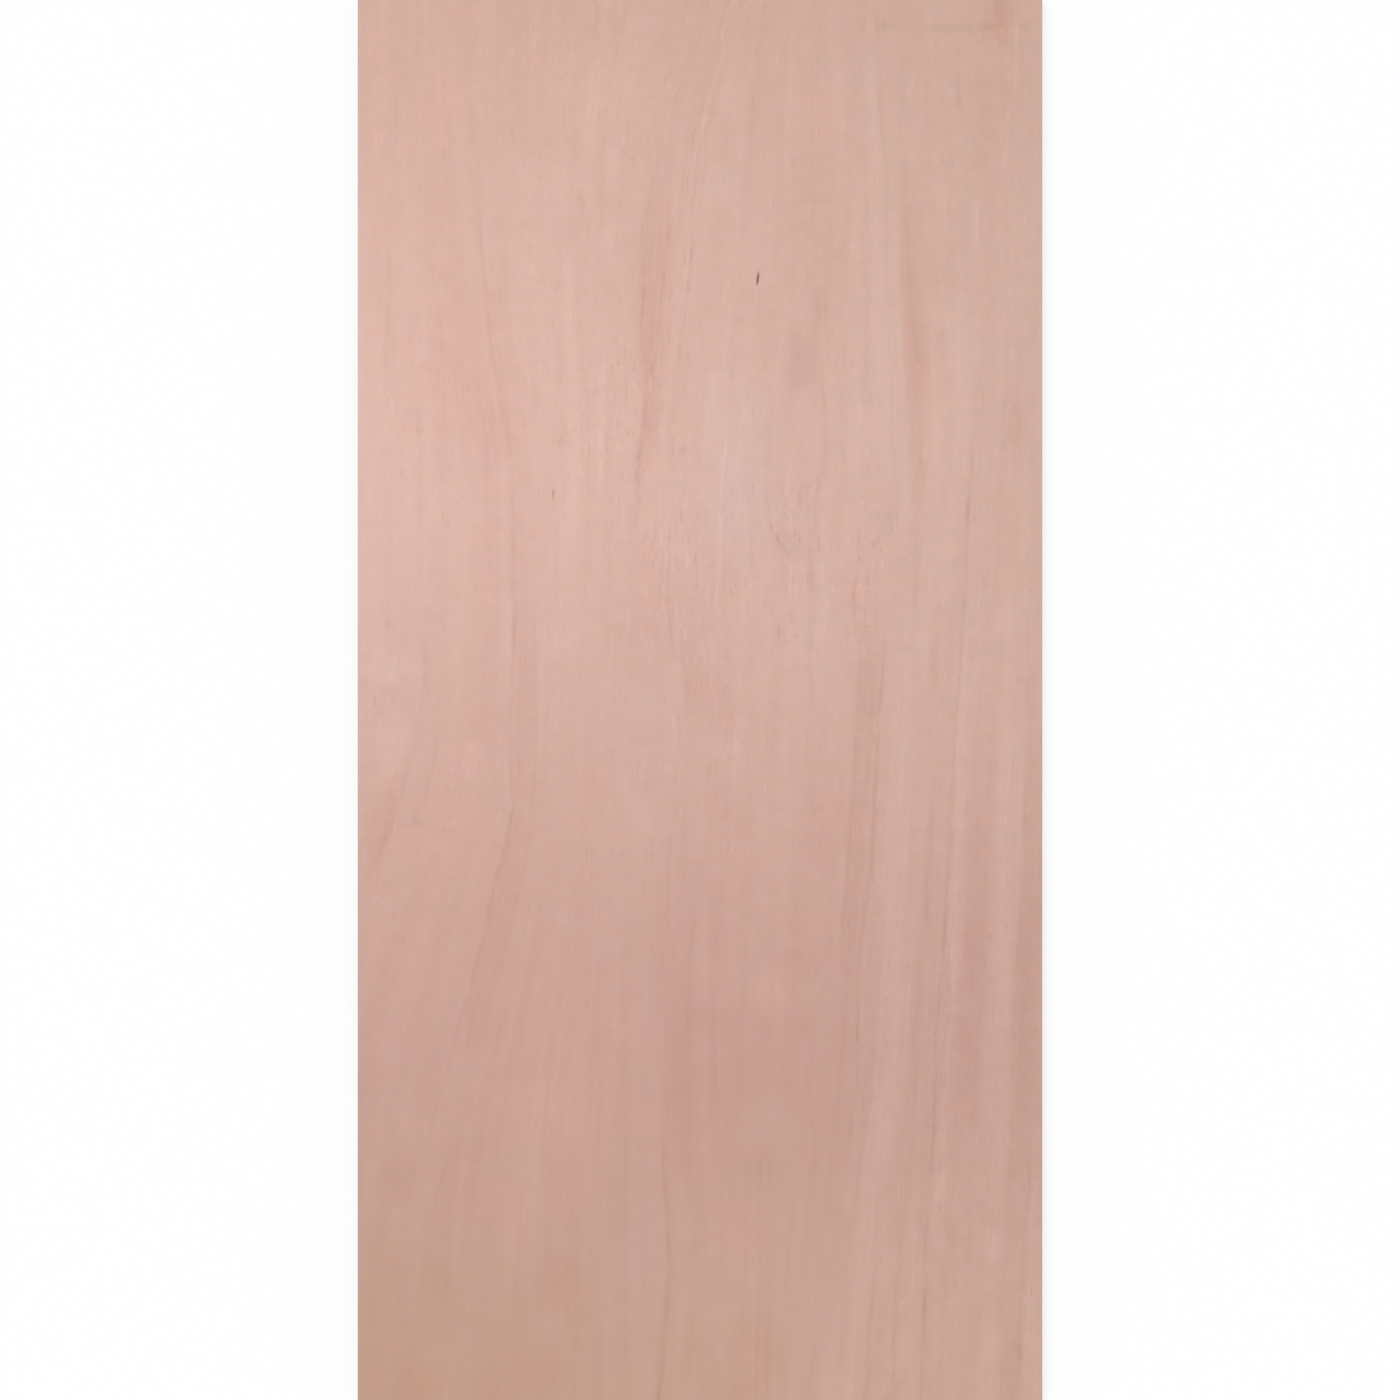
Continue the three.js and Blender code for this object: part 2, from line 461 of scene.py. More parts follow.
        ("smoke", 0.7, 0.6, [(212, 101.6, 0), (219, 101.2, -2), (226, 101.1, -3.5), (229, 101.1, -3),
         (232, 101.1, -6), (237, 100.9, -6), (240, 100.7, -2.5), (246, 100.5, -3.2), (250, 100.2, -3)]),
        ("grey", 1.3, 0.9, [(105, 109.3, 0), (114, 108.6, 1.5), (125, 107.9, 2.2), (129, 107.7, 3.5),
         (138, 107.3, 4), (147, 107, 4.5), (156, 106.6, 5), (165, 106.1, 4.5), (174, 106.1, 4),
         (183, 105.3, 2.7), (192, 104.8, 3), (201, 104.3, 2.8), (210, 103.9, 3.5), (218, 102.8, 1.5),
         (223, 102.1, 0)]),
        ("grey", 0.5, 0.5, [(36, 110.4, 0), (38, 110.4, 3), (44, 110.4, 2), (46, 110.4, 0)]),
        ("smoke", 1.3, 1.1, [(111, 103.2, 0), (114, 102.8, -2.5), (119, 102.8, -2.5), (123, 103.2, -1),
         (141, 102.7, -1.5), (147, 102.1, -3.5), (154, 101.9, -4), (159, 101.4, -3.5), (165, 101.6, -2),
         (171, 102.1, 0)]),
        ("smoke", 0.7, 0.7, [(176, 99.8, 0), (179, 99.8, -2), (184, 99.4, -1.5), (189, 99.4, -3.5),
         (194, 99.4, -3.5), (196, 99.3, -1), (204, 98.9, 0)]),
        ("smoke", 0.5, 0.6, [(12, 107.1, 0), (14, 107.1, -3), (19, 107.1, -3), (21, 107.1, 0)]),
        ("smoke", 0.5, 0.7, [(107, 119.5, 0), (110, 119.5, -2.8), (122, 119.3, -2), (130, 118.9, -1.5),
         (139, 118.9, -2), (147, 118.8, -3.5), (150, 118.6, 0)]),
        ("smoke", 0.7, 0.7, [(205, 119.7, 0), (208, 119.7, -4), (215, 119.5, -4), (219, 118.9, -1.5),
         (234, 118.2, -1.5), (239, 118, -3.2), (244, 117.9, -3), (247, 117.7, 0)]),
        ("cool", 0.9, 0.8, [(0, 117.2, 3.5), (7, 117.3, 4), (14, 117.3, 3.5), (20, 116.4, 2),
         (22, 115.4, 3), (31, 115.2, 3), (35, 115, 0)]),
        ("smoke", 0.9, 0.9, [(0, 42.6, -1.5), (3, 42.6, -3.5), (7, 42.4, -3), (10, 42.2, 0)]),
        ("smoke", 0.7, 0.7, [(34, 40, 0), (36, 40, -3), (38, 39.9, -3), (41, 39.7, 0)]),
    ],
    # wide soft bands, written as the streaks are, with the softness of each side
    "bands": [
        ("brown", 2.9, 1.4, 1.8, [(32, 53.8, 0), (37, 52.9, -3), (43, 52.4, -4), (49, 52, -5.5),
         (58, 51.9, -7), (67, 51.9, -8), (76, 51.9, -7.5), (80, 51.3, -5), (85, 50.4, -3), (89, 49.9, 0)]),
        ("rust", 2.5, 1.8, 1.4, [(31, 55.3, 0), (36, 54.9, -2.5), (43, 54.5, -3.5), (50, 54.2, -4),
         (58, 53.6, -3.5), (67, 53.1, -1.5), (71, 52.9, -1), (78, 52.9, -2), (80, 52.9, 0)]),
        ("grey", 2.3, 1.4, 1.4, [(45, 37.2, 0), (49, 37.4, 3.4), (58, 37.4, 3.6), (67, 37.9, 3.2),
         (85, 38.4, 3.4), (94, 38.1, 2.5), (100, 37.7, 0)]),
        ("grey", 4.7, 0.7, 0.7, [(107, 91.8, 0), (114, 91.8, -2), (121, 91.2, -5), (129, 90.7, -6),
         (138, 90.3, -5.5), (147, 89.8, -5), (156, 89.2, -3.5), (165, 88.2, -3), (174, 87.5, -2.5),
         (183, 86.9, -2), (193, 86, -1.5), (211, 85, -1.5), (223, 83.5, 0)]),
        ("cool", 4.7, 0.9, 2.5, [(100, 96.8, 0), (111, 96.9, 1), (118, 96.9, 1.6), (125, 97.1, 2),
         (129, 97.1, 2.6), (138, 97.3, 3), (147, 96.6, 3.8), (156, 96.2, 3.8), (165, 96.4, 4.2),
         (174, 95.9, 4.8), (183, 95, 5.2), (192, 94.3, 5.2), (201, 93.2, 5), (210, 91.9, 4.7),
         (219, 91, 4.5), (228, 89.8, 3.5), (237, 89.6, 4), (246, 88.4, 3), (250, 87.8, 3)]),
        ("cool", 2.5, 1.8, 1.3, [(7, 90.7, 0), (15, 90.9, 3.2), (21, 91.9, 2.6), (30, 92.6, 2.6),
         (40, 92.8, 2), (49, 92.8, 2.4), (58, 93, 3), (67, 93.4, 3.5), (76, 93.9, 3.5), (85, 94.3, 2.5),
         (91, 94.6, 0)]),
        ("cool", 2.3, 1.1, 1.1, [(27, 95.3, 0), (36, 95.1, 2), (49, 95.3, 3.6), (59, 95.7, 4.6),
         (67, 95.9, 4.6), (76, 96.6, 4.5), (85, 96.9, 3.5), (91, 97.1, 4), (96, 97.1, 1.5),
         (102, 97.1, 0)]),
        ("brown", 3.9, 0.7, 2.9, [(29, 98.7, 0), (34, 98.5, -3.5), (40, 98.7, -5), (49, 98.7, -6),
         (58, 99.3, -7), (67, 99.8, -6.5), (76, 100.5, -4), (85, 100.9, -2), (93, 100.9, -1.5),
         (103, 100.3, -1), (109, 100, 0)]),
        ("rust", 4.7, 2.9, 2.9, [(20, 102.5, 0), (27, 102.5, -1.5), (54, 103.2, -2), (71, 103.6, -1.5),
         (82, 103.9, 0)]),
        ("grey", 3.2, 0.9, 2.1, [(54, 106.2, 0), (57, 106.1, 4.5), (62, 106.2, 4.2), (67, 107, 3.2),
         (71, 107.3, 3.2), (80, 107.5, 2.8), (87, 107.5, 1.5), (100, 106.6, 0)]),
        ("brown", 3.6, 2.1, 2.1, [(118, 112.5, 0), (125, 112, -0.6), (134, 111.8, -1.2),
         (141, 110.9, -1.2), (152, 110.4, -3.5), (161, 110.2, -4), (174, 109.5, -4.2), (186, 109.3, -4),
         (196, 108.6, -3.3), (205, 107.9, -2), (214, 107.1, -1), (220, 106.8, 0)]),
        ("grey", 4.7, 2.1, 0.9, [(112, 116.4, 0), (123, 116.4, 1), (129, 116.8, 2), (138, 116.6, 4),
         (147, 116.4, 4.4), (156, 116.4, 4.2), (165, 115.4, 4.2), (174, 114.8, 5), (187, 114.3, 4.5),
         (201, 113.9, 3.8), (210, 112.9, 3.5), (219, 112.1, 2.5), (228, 111.4, 2), (237, 110.7, 0)]),
        ("olive", 4.3, 0.7, 1.8, [(114, 121.1, 0), (121, 121.1, -1.8), (129, 121.1, -2), (138, 120.9, -4),
         (147, 120.6, -4.4), (156, 120.2, -4), (165, 119.5, -4.4), (174, 118.9, -4), (183, 118.4, -3.6),
         (192, 118.2, -3.4), (201, 117.9, -1.8), (210, 117.5, -1), (219, 116.6, 1.5), (225, 116.3, 2),
         (230, 115.9, 0.5), (237, 115.7, -2.4), (246, 116.4, -4), (250, 116.4, -4)]),
        ("grey", 2.1, 1.4, 1.1, [(209, 121.1, 0), (216, 120.9, 3), (228, 120.4, 3.5), (237, 119.8, 4),
         (245, 120, 0)]),
        ("olive", 1.8, 1.1, 1.1, [(32, 21.1, 0), (43, 22, -1), (54, 23.2, -2), (61, 24.1, -2),
         (68, 25, -2), (74, 25.7, -2.6), (79, 26.3, -1), (86, 26.8, 0)]),
        ("red", 4.7, 1.8, 1.1, [(74, 23.2, 0), (80, 23.2, -2), (93, 23.2, -2), (100, 23.2, -2.6),
         (111, 23.4, -2), (121, 24.1, -1.2), (129, 24.1, 0)]),
        ("grey", 2.5, 0.7, 1.4, [(77, 29, 0), (86, 29, -1.8), (100, 29.1, -2), (111, 29.3, -1),
         (118, 29.3, 0)]),
        ("red", 5.4, 0.7, 2.5, [(155, 58.1, 0), (161, 57.8, -1.6), (170, 57.4, -2.2), (179, 57.2, -2.4),
         (196, 57, -2), (207, 57, -1.4), (214, 57.4, 0)]),
        ("smoke", 2.7, 1.8, 0.5, [(50, 82.6, 0), (53, 82.6, -4.6), (58, 82.6, -5.2), (60, 82.4, 0)]),
        ("brown", 4.7, 1.8, 1.1, [(58, 78.7, 0), (62, 78.9, -2.4), (67, 79, -2.2), (72, 78.9, 0)]),
        ("brown", 4.3, 1.4, 1.1, [(107, 29.9, 0), (114, 29.7, -3), (125, 29.7, -3.5), (134, 29.9, -3.5),
         (143, 30, -3.5), (152, 28.8, -3), (161, 26.6, -2.5), (170, 24.3, -2), (179, 21.6, -2.5),
         (185, 21.3, -2.5), (189, 20.7, 0)]),
    ],
    # short flecks by hue: across, down, reach across, reach down, strength
    "ticks": {
        "smoke": [(11.1, 33.6, 0.5, 1.3, -4), (95.1, 94.6, 0.5, 1.4, -7), (78.7, 95.9, 0.5, 1.4, -7),
            (82.8, 100, 0.4, 1.4, -4), (75.1, 112.9, 0.6, 1.6, -8), (76.2, 114.5, 1.1, 0.7, -4),
            (78.2, 113.7, 0.6, 0.9, -5), (3, 125, 0.5, 1.6, -7), (74.9, 95.9, 0.4, 1.8, -6),
            (73.7, 94.1, 0.4, 1.1, -5), (76.5, 99.6, 0.5, 1.3, -5), (90.3, 90.7, 0.4, 0.9, -5),
            (66.3, 135.2, 1.3, 0.9, -4), (65.5, 117.1, 0.5, 1.4, -4), (65.6, 122.5, 0.7, 0.9, -4),
            (62.4, 138.4, 0.4, 1.1, -5), (56.5, 138.9, 0.4, 0.9, -5), (58.3, 46.2, 0.4, 1.3, -5),
            (59.5, 45.7, 0.4, 1.6, -6), (58.7, 51.2, 0.4, 1.8, -6), (57.4, 63.7, 0.4, 2.1, -6),
            (66.7, 67.1, 0.4, 1.1, -6), (67.8, 57.3, 0.4, 0.9, -4), (10.4, 146.6, 1.1, 1.3, -5),
            (3.4, 136.4, 0.7, 0.7, -5), (118, 241.4, 0.4, 1.8, -5), (23.9, 53, 1.3, 1.8, -3.5),
            (23.9, 76.2, 0.9, 1.6, -4), (49.9, 81.8, 0.7, 0.9, -6), (52.4, 66.1, 0.5, 1.6, -5),
            (103.7, 108.2, 0.4, 1.3, -5), (120.7, 55.4, 0.4, 1.1, -5), (32.4, 64.6, 2.3, 0.4, -3.5),
            (31.8, 67.3, 1.4, 0.4, -3.5), (34, 66.2, 0.6, 1.1, -3.5), (28.6, 66.1, 0.7, 0.9, -4),
            (45.2, 78.6, 1.8, 0.4, -3), (40.2, 74.5, 0.9, 0.9, -3.5), (40.9, 179.1, 0.5, 1.3, -3.5),
            (40.6, 186.6, 0.6, 1.4, -3), (34.5, 201.4, 0.6, 1.4, -3.5), (46, 200, 0.4, 1.3, -4),
            (52.9, 21.6, 0.4, 1.3, -3), (70.5, 18.4, 0.4, 1.6, -4), (90.1, 20, 0.5, 1.1, -4)],
        "rust": [(89.4, 99.8, 0.6, 0.9, -8), (15.5, 117.1, 1.1, 1.1, -2.5), (41.3, 223.2, 0.4, 0.9, -4)],
        "brown": [(89.2, 96.6, 0.5, 2.5, -6), (78.8, 89.1, 0.7, 2.3, -7), (79.8, 86.8, 1.3, 0.9, -6),
            (80.3, 90.9, 0.4, 0.7, -6), (77.4, 110.2, 0.6, 2.1, -8), (90.7, 112, 0.7, 0.5, -6),
            (80.8, 102.1, 1.3, 8.2, -2.6), (88.4, 107.9, 0.8, 3.2, -5), (112.5, 5, 4.3, 1.3, -4)],
        "grey": [(78.3, 112.5, 0.4, 0.7, 5), (90, 90, 0.4, 1.1, 6), (56.3, 128.9, 0.4, 2, 8),
            (67.4, 132.7, 0.5, 1.6, 8), (58.8, 46.1, 0.4, 1.3, 5), (57.8, 53, 0.4, 1.4, 5),
            (14.6, 112.9, 0.5, 1.1, 4), (22.9, 63.9, 0.5, 1.3, 5), (119.5, 49.5, 0.6, 1.6, 3),
            (116.6, 63.2, 0.5, 1.8, 4), (45.8, 182.7, 0.5, 1.3, 4), (44, 214.1, 0.4, 1.1, 4),
            (51.3, 177.1, 0.5, 1.4, 3.5), (47.4, 25.4, 0.5, 1.4, 4.5), (85.3, 128, 0.5, 1.8, 4)],
        "rose": [(87.6, 105, 0.4, 1.1, 4)],
        "olive": [(112.7, 167.3, 0.7, 1.3, -5), (35.9, 79.1, 1.1, 0.9, -4)],
        "red": [(5.5, 111.6, 1.1, 1.1, -3)],
        "cool": [(37, 61.8, 0.9, 1.4, 4)],
        "moss": [(94.3, 5, 3.6, 1.4, -5), (105.7, 5.2, 12.9, 1.3, -3.2), (118.8, 5, 2.1, 1.3, -4)],
    },
    # soft zones by hue, written as the short flecks are, with a lean at the end where they have one
    "zones": {
        "rose": [(14.5, 17.9, 7.2, 10.7, 2.2), (82.1, 20, 8.6, 9.8, 3), (102.1, 33.9, 5.7, 17, 2),
            (87.5, 46.4, 2.9, 13.4, 1.6), (17.7, 148.2, 8.6, 11.1, 2.2), (41.7, 140.5, 4.7, 5.7, 1.6),
            (68.1, 108.6, 4.7, 7.9, 2), (90.7, 105.7, 5.4, 6.4, 2.4), (86.4, 95, 4.7, 10.4, 2),
            (73.1, 136.6, 3.2, 8.2, 1.6), (33.3, 186.6, 21.1, 29.5, 2.2), (48.1, 183.9, 6.1, 6.4, 1.8),
            (39.5, 209.3, 5.7, 11.6, 2), (67.2, 220.9, 10.4, 11.1, 1.8), (41.3, 92.9, 25, 48.2, 1.3),
            (75.6, 11.8, 3.6, 4.3, 2.6), (72.1, 123.2, 7.5, 9.3, 1.8), (19.8, 135.4, 8.6, 5, 2),
            (65.5, 172.3, 3.9, 8.2, 1.6), (4.6, 184.8, 3.9, 6.4, 1.6), (10.9, 170.5, 9.3, 9.3, 1.8),
            (31.5, 191.4, 8.2, 4.3, -1.7), (27, 214.6, 17, 8.2, 1.6), (51.7, 200, 3.9, 5.7, 2.2),
            (69.9, 153.6, 10.7, 12.5, 1)],
        "warm": [(41.3, 16.4, 17, 13.4, 3.6), (35.9, 198.6, 17, 12.5, 2), (73.9, 177.1, 5.5, 7.1, 3.4),
            (64.2, 235.2, 4.7, 5.7, 2.6), (103, 54.5, 2.9, 6.1, 3.2), (102.8, 74.1, 3.9, 17, 2.6),
            (115.5, 11.1, 2.5, 5.4, 2.6), (35.6, 115.2, 5.4, 3.2, 3), (27.9, 221.4, 4.7, 7.1, 2.6),
            (102.5, 212.5, 5.7, 5, 2.2)],
        "cool": [(36.3, 32.1, 5.7, 8.6, 4), (44.5, 43.7, 3.6, 6.8, 3.5), (67.2, 83.9, 9.3, 20.5, 1.3),
            (5.2, 119.1, 7.5, 4.6, 4.4), (35.2, 160.7, 3.9, 9.8, 2), (30.6, 211.1, 4.5, 13.4, 2.4),
            (93.5, 226.8, 3.8, 8.6, 3.8), (112.5, 239.3, 3.9, 5.4, 3), (66.7, 17, 3.4, 8.6, 4),
            (13.2, 136.1, 2.5, 5, 2.2), (112.9, 222, 2.9, 5, 4), (85.7, 247.3, 6.4, 5.7, 2.4)],
        "red": [(27.7, 32.5, 6.4, 8.9, 2), (51.7, 69.3, 2.5, 11.1, 2), (19.8, 67, 14.3, 26.8, -3.6),
            (25.6, 77.1, 6.1, 8.2, -3), (14.5, 41.1, 5.7, 19.6, -2), (113.9, 3.6, 5.4, 9.6, -3.4),
            (114.6, 16.1, 3.6, 12.5, -2), (22.9, 130, 5.4, 7.5, -2.6), (50.2, 111.6, 9.3, 13.4, -1.9),
            (62.1, 124.3, 5, 8.2, -4), (51.7, 125.7, 5.4, 3.6, 2), (55.3, 135, 3.9, 3.2, 2.2),
            (90.7, 105.7, 5.4, 6.4, -1.4), (73.1, 136.6, 3.2, 8.2, -1.6), (83.5, 148.2, 6.1, 21.4, -2.8),
            (4.3, 148.2, 5.7, 11.1, -2.4, -0.3), (69.6, 192.9, 24.2, 25, -2.5),
            (79.4, 182.5, 3.2, 4.6, -2.4), (61.9, 181.8, 7.5, 4.6, -2.6), (36.8, 229.8, 9.3, 8.2, -2.2),
            (101.4, 225.9, 2.5, 6.4, 2.4), (109.1, 178.9, 2.5, 5.4, 3), (12.7, 105.4, 3.9, 17, -2.3),
            (28.1, 97.3, 2.9, 20.5, -2.4), (45.2, 28.6, 3.9, 8.2, 3), (64.9, 33.6, 5.4, 5.7, 2.8),
            (79.2, 64.6, 5.4, 9.6, -2.6), (72.6, 58, 6.1, 12.5, -2.2), (50.2, 100, 4.7, 5.7, -2.6),
            (58.1, 118.7, 4.7, 8.9, -1.6), (8.2, 131.2, 2.5, 5, 2.6), (72.1, 199.5, 8.2, 7.9, 2.8),
            (59.5, 241.1, 3.2, 8.6, -2.6), (68.1, 248.6, 5.7, 4.3, -3.6), (56.7, 105.7, 4.7, 8.2, -3),
            (64.6, 155.4, 10.7, 10.7, -1.4), (64.9, 168.7, 5.4, 8.9, -1.6)],
        "olive": [(49.4, 51.4, 2.3, 14.3, -3), (15, 229.8, 5, 8.2, -3.4), (14.5, 237, 4.5, 5.4, -1.8)],
        "rust": [(81.4, 42.9, 8.9, 28.6, -3.4), (112.5, 25, 5.4, 18.7, -3), (71, 241.4, 7.5, 12.5, -3.8),
            (114.1, 2.9, 4.3, 5.4, -3), (78.9, 172.3, 11.1, 6.4, -2.2)],
        "amber": [(90.5, 12.1, 8.1, 8.6, 1.4), (67.8, 77.7, 9.3, 15.2, 1.9), (67.2, 90.7, 8.9, 11.1, 2.6),
            (117.2, 92.9, 3.6, 11.1, -1.8), (20.2, 107.1, 5.4, 18.7, -1.7), (18.4, 123.2, 7.5, 12.9, -1.8),
            (17.1, 147.3, 8.1, 10.7, -1), (41.7, 140.5, 4.7, 5.7, -1.9), (116.8, 102.3, 5.4, 4.8, -1.7),
            (32.4, 179.5, 18.8, 17, -0.9), (11.6, 247.1, 6.1, 5.7, -1.2), (50.2, 225.4, 5, 16.4, 2),
            (83.5, 237.5, 5.4, 15.2, 1.5), (78.9, 164.6, 8.1, 4.3, -1.8)],
        "grey": [(102.7, 75.9, 4.7, 17, 3), (103.4, 97.3, 5, 15.2, 3.2), (110.2, 60.7, 2.7, 9.8, 2),
            (89.2, 78.6, 6.1, 11.1, 3), (5.5, 133, 5, 10.7, 4), (79.9, 112.1, 9.3, 16.1, 3.2),
            (116.4, 110.2, 3.9, 5.7, 3), (110, 142, 2.9, 7.5, 2), (109.3, 160.7, 2.9, 7.5, 2.4),
            (50.6, 145.7, 4.7, 6.8, 3.2), (7.3, 209.5, 5, 5, -3), (8.7, 200.9, 3.9, 9.3, 2.6),
            (8, 226.8, 3.9, 3.2, -2.4), (98.2, 230.4, 3.9, 29.5, 2.8, -0.05),
            (106.1, 212.5, 3.6, 6.8, 2.6), (106.6, 233, 3.9, 9.8, 2.2), (106.6, 202.7, 4.7, 7.5, 2),
            (94.6, 37.5, 2.9, 8.6, -2.5), (64.9, 68.4, 5, 3.2, 3), (97.7, 73.2, 2.5, 11.1, -2),
            (81.6, 125, 2.5, 4.6, 2.6), (66.3, 136.6, 3.6, 7.1, 2.6), (108.6, 123.6, 2.5, 4.6, 3),
            (101.2, 115.7, 2.9, 5, 3), (24.8, 183.6, 3.2, 6.8, -2.6), (40.6, 235.2, 2.5, 2.5, -2.6),
            (116.8, 218.7, 2.5, 8.6, -1.8), (95, 241.1, 5.4, 7.5, 2.2), (94.1, 187.5, 3.2, 8.6, -2.4),
            (113.9, 174.6, 2.9, 5.7, -2.4), (27, 14.6, 2.1, 8.6, 1.8), (22.9, 247.9, 8.2, 5.4, -1.8),
            (87.1, 211.6, 2.5, 7.5, 2.4), (103.6, 220.5, 2.1, 6.4, 2.4), (103.4, 238.4, 2.3, 8.2, 2.8),
            (78.9, 87.1, 1.8, 4.6, -2.4)],
        "brown": [(117.3, 75.9, 3.4, 10.4, -5), (65.8, 127.1, 2.9, 6.1, -3.4),
            (64.9, 142.9, 7.2, 10.7, -2.8), (11.6, 247.1, 6.1, 5.7, -2.6), (33.8, 246.1, 6.8, 8.2, -4.4),
            (36.3, 78.7, 2.5, 2.1, -4), (54.9, 46.8, 2.3, 8.9, -5, -0.06),
            (55.3, 63.4, 1.6, 11.1, -3.2, -0.06), (102.1, 50, 2.5, 9.8, -3)],
        "mauve": [(79.4, 64.6, 5, 8.2, -3), (95.5, 89.3, 2.7, 7.5, -2.4), (76.5, 97.3, 4.3, 4.6, -2.8),
            (54.5, 30.7, 2.5, 3.6, -2.6), (58.8, 158.9, 3.2, 19.6, -2), (45.2, 240.2, 6.1, 6.8, -2.2)],
        "smoke": [(4.4, 146.8, 5.4, 11.1, -1.4, -0.3), (64, 75, 4.3, 10.4, 2)],
        "moss": [(72.1, 208.4, 7.2, 2.7, -4), (70.3, 212.5, 5.4, 4.6, -1.5)],
    },
    # where the grain is flecked or rippled, in the same ovals, with how much at the end where it isn't 1
    "flecked": [(46.7, 75, 20, 30), (57.4, 100, 18, 25), (78.9, 100, 11, 23), (91.4, 100, 8, 18, 0.8),
                (10.9, 75, 11, 29, 0.7), (57.4, 57, 5.4, 16)],
    "rippled": [(38, 68, 18, 22), (26, 93, 30, 24, 0.8), (43, 134, 14, 13, 0.7)],
    # towards the lower left the figure is calmer: from where to where down and across, and how much
    "calmDown": (145, 185),
    "calmAcross": (94, 86),
    "calmed": 0.55,
    "streaky": 0.55,  # how much bands and zones vary across the grain
    "ragged": 0.32,  # how far the streaks waver
    "broken": 1.8,  # how much the streaks vary along the grain
    # figure all over the veneer, in rows with a width, a length and a seed: a colour or a hue stands before
    # them and a strength after them, and the stripes have their detail in between
    "mottles": [((0.9, 0.9, 0.9), 5, 3.5, 2.3), ((0.6, 0.6, 0.6), 2.2, 2.5, 7.1),
                ((0.5, -0.4, -0.1), 3.5, 5, 4.6), ((0.2, 0.3, -0.6), 4, 4, 9.4)],
    "flecks": [(0.75, 4.0, 11.3, 6.0), (0.5, 2.4, 13.9, 3.5)],
    "clouds": [("grey", 3.0, 2.4, 18.6, 2.0), ("rose", 3.5, 3.0, 21.7, 3.0), ("amber", 3.5, 3.0, 25.9, 1.8)],
    "stripes": [("grey", 2.2, 50, 2.4, 1.0, 3.2), ("red", 2.6, 24, 6.6, 2.0, 1.0)],
    "fibres": [(0.55, 14, 1.3, 0.016), (0.2, 4, 4.4, 0.014)],
    "fibreHeight": 10.0,
    "pores": (0.07, 0.9, 9.1),
    "poreDark": 0.04,
    "rippleDark": 0.03,
    # pin marks, with half their width and length, and the areas round them that get smaller cells
    "pinMarks": [
        {"at": (71.3, 49.9), "reach": (0.30, 1.45), "lean": -0.12, "darkness": 0.85, "depth": 0.25 * mm},
        {"at": (34.85, 88.3), "reach": (0.28, 1.25), "lean": 0.05, "darkness": 0.32, "depth": 0.08 * mm},
    ],
    "pinColour": (110, 72, 58),
    "pinCells": [(1.5, 3.3), (0.75, 2.2)],
    "pinCuts": 3,
}


def smooth(value, start, end):
    part = min(max((value - start) / (end - start), 0.0), 1.0)
    return part * part * (3 - 2 * part)


def inOval(across, down, ovalAcross, ovalDown, reachAcross, reachDown, strength=1.0, lean=0.0):
    # the oval's strength in its middle, falling to 0 at its rim
    y = down - ovalDown
    if abs(y) > reachDown:
        return 0.0
    x = across - ovalAcross - lean * y
    return strength * smooth(math.hypot(x / reachAcross, y / reachDown), 1.0, 0.1)


@lru_cache(maxsize=None)
def bandsAt(down):
    # the place across and the strength of every wide band at one height down the sheet
    found = []
    for hue, width, leftSoft, rightSoft, points in faceVeneer["bands"]:
        if points[0][0] <= down <= points[-1][0]:
            place = alongCourse([point[:2] for point in points], down)
            strength = alongCourse([point[::2] for point in points], down)
            found.append((hue, place - width / 2, leftSoft, place + width / 2, rightSoft, strength))
    return found


def shadeAt(across, down):
    # the colour that bands, zones and mottling add to the ground tone, as a linear colour
    shade = Vector((0, 0, 0))
    hues = faceVeneer["hues"]
    for hue, left, leftSoft, right, rightSoft, strength in bandsAt(round(down, 1)):
        if left - leftSoft < across < right + rightSoft:
            inside = smooth(across, left - leftSoft / 2, left + leftSoft / 2)
            inside *= smooth(across, right + rightSoft / 2, right - rightSoft / 2)
            shade += Vector(hues[hue]) * (inside * strength)
    for hue, ovals in faceVeneer["zones"].items():
        shade += Vector(hues[hue]) * sum(inOval(across, down, *oval) for oval in ovals)
    for colour, size, length, seed in faceVeneer["mottles"]:
        shade += Vector(colour) * noise.noise(Vector((across / size, down / length, seed)))
    return shade * faceVeneer["step"]


def paintFace(bm):
    shade = bm.verts.layers.float_vector.new("shade")
    figure = bm.verts.layers.float_vector.new("figure")
    for vertex in bm.verts:
        if vertex.co.z > high.z - sheet["outerPly"] / 2:
            across, down = onFace(vertex.co.x, vertex.co.y)
            vertex[shade] = shadeAt(across, down)
            flecked, rippled = [max(inOval(across, down, *oval) for oval in faceVeneer[name])
                                for name in ("flecked", "rippled")]
            calm = smooth(down, *faceVeneer["calmDown"]) * smooth(across, *faceVeneer["calmAcross"])
            vertex[figure] = (flecked, rippled, 1 - faceVeneer["calmed"] * calm)


def addTone(totals, hue, tone):
    totals[hue] = totals[hue] + tone if hue in totals else tone


def streakTone(across, way, width, soft, points):
    # the ramp holds the streak's place across in its colour and its strength in its alpha
    strongest = faceVeneer["strongest"]
    course = way.ramp([(down / lengthInCm, (place / widthInCm,) * 3 + (abs(strength) / strongest,))
                       for down, place, strength in points])
    darker = min(point[2] for point in points) < 0
    away = (across - course.node("ShaderNodeSeparateColor", None, {0: course}) * widthInCm).size()
    shape = away.rise((width - soft) / 2, (width + soft) / 2, -strongest if darker else strongest, 0.0)
    return shape * course.other("Alpha")


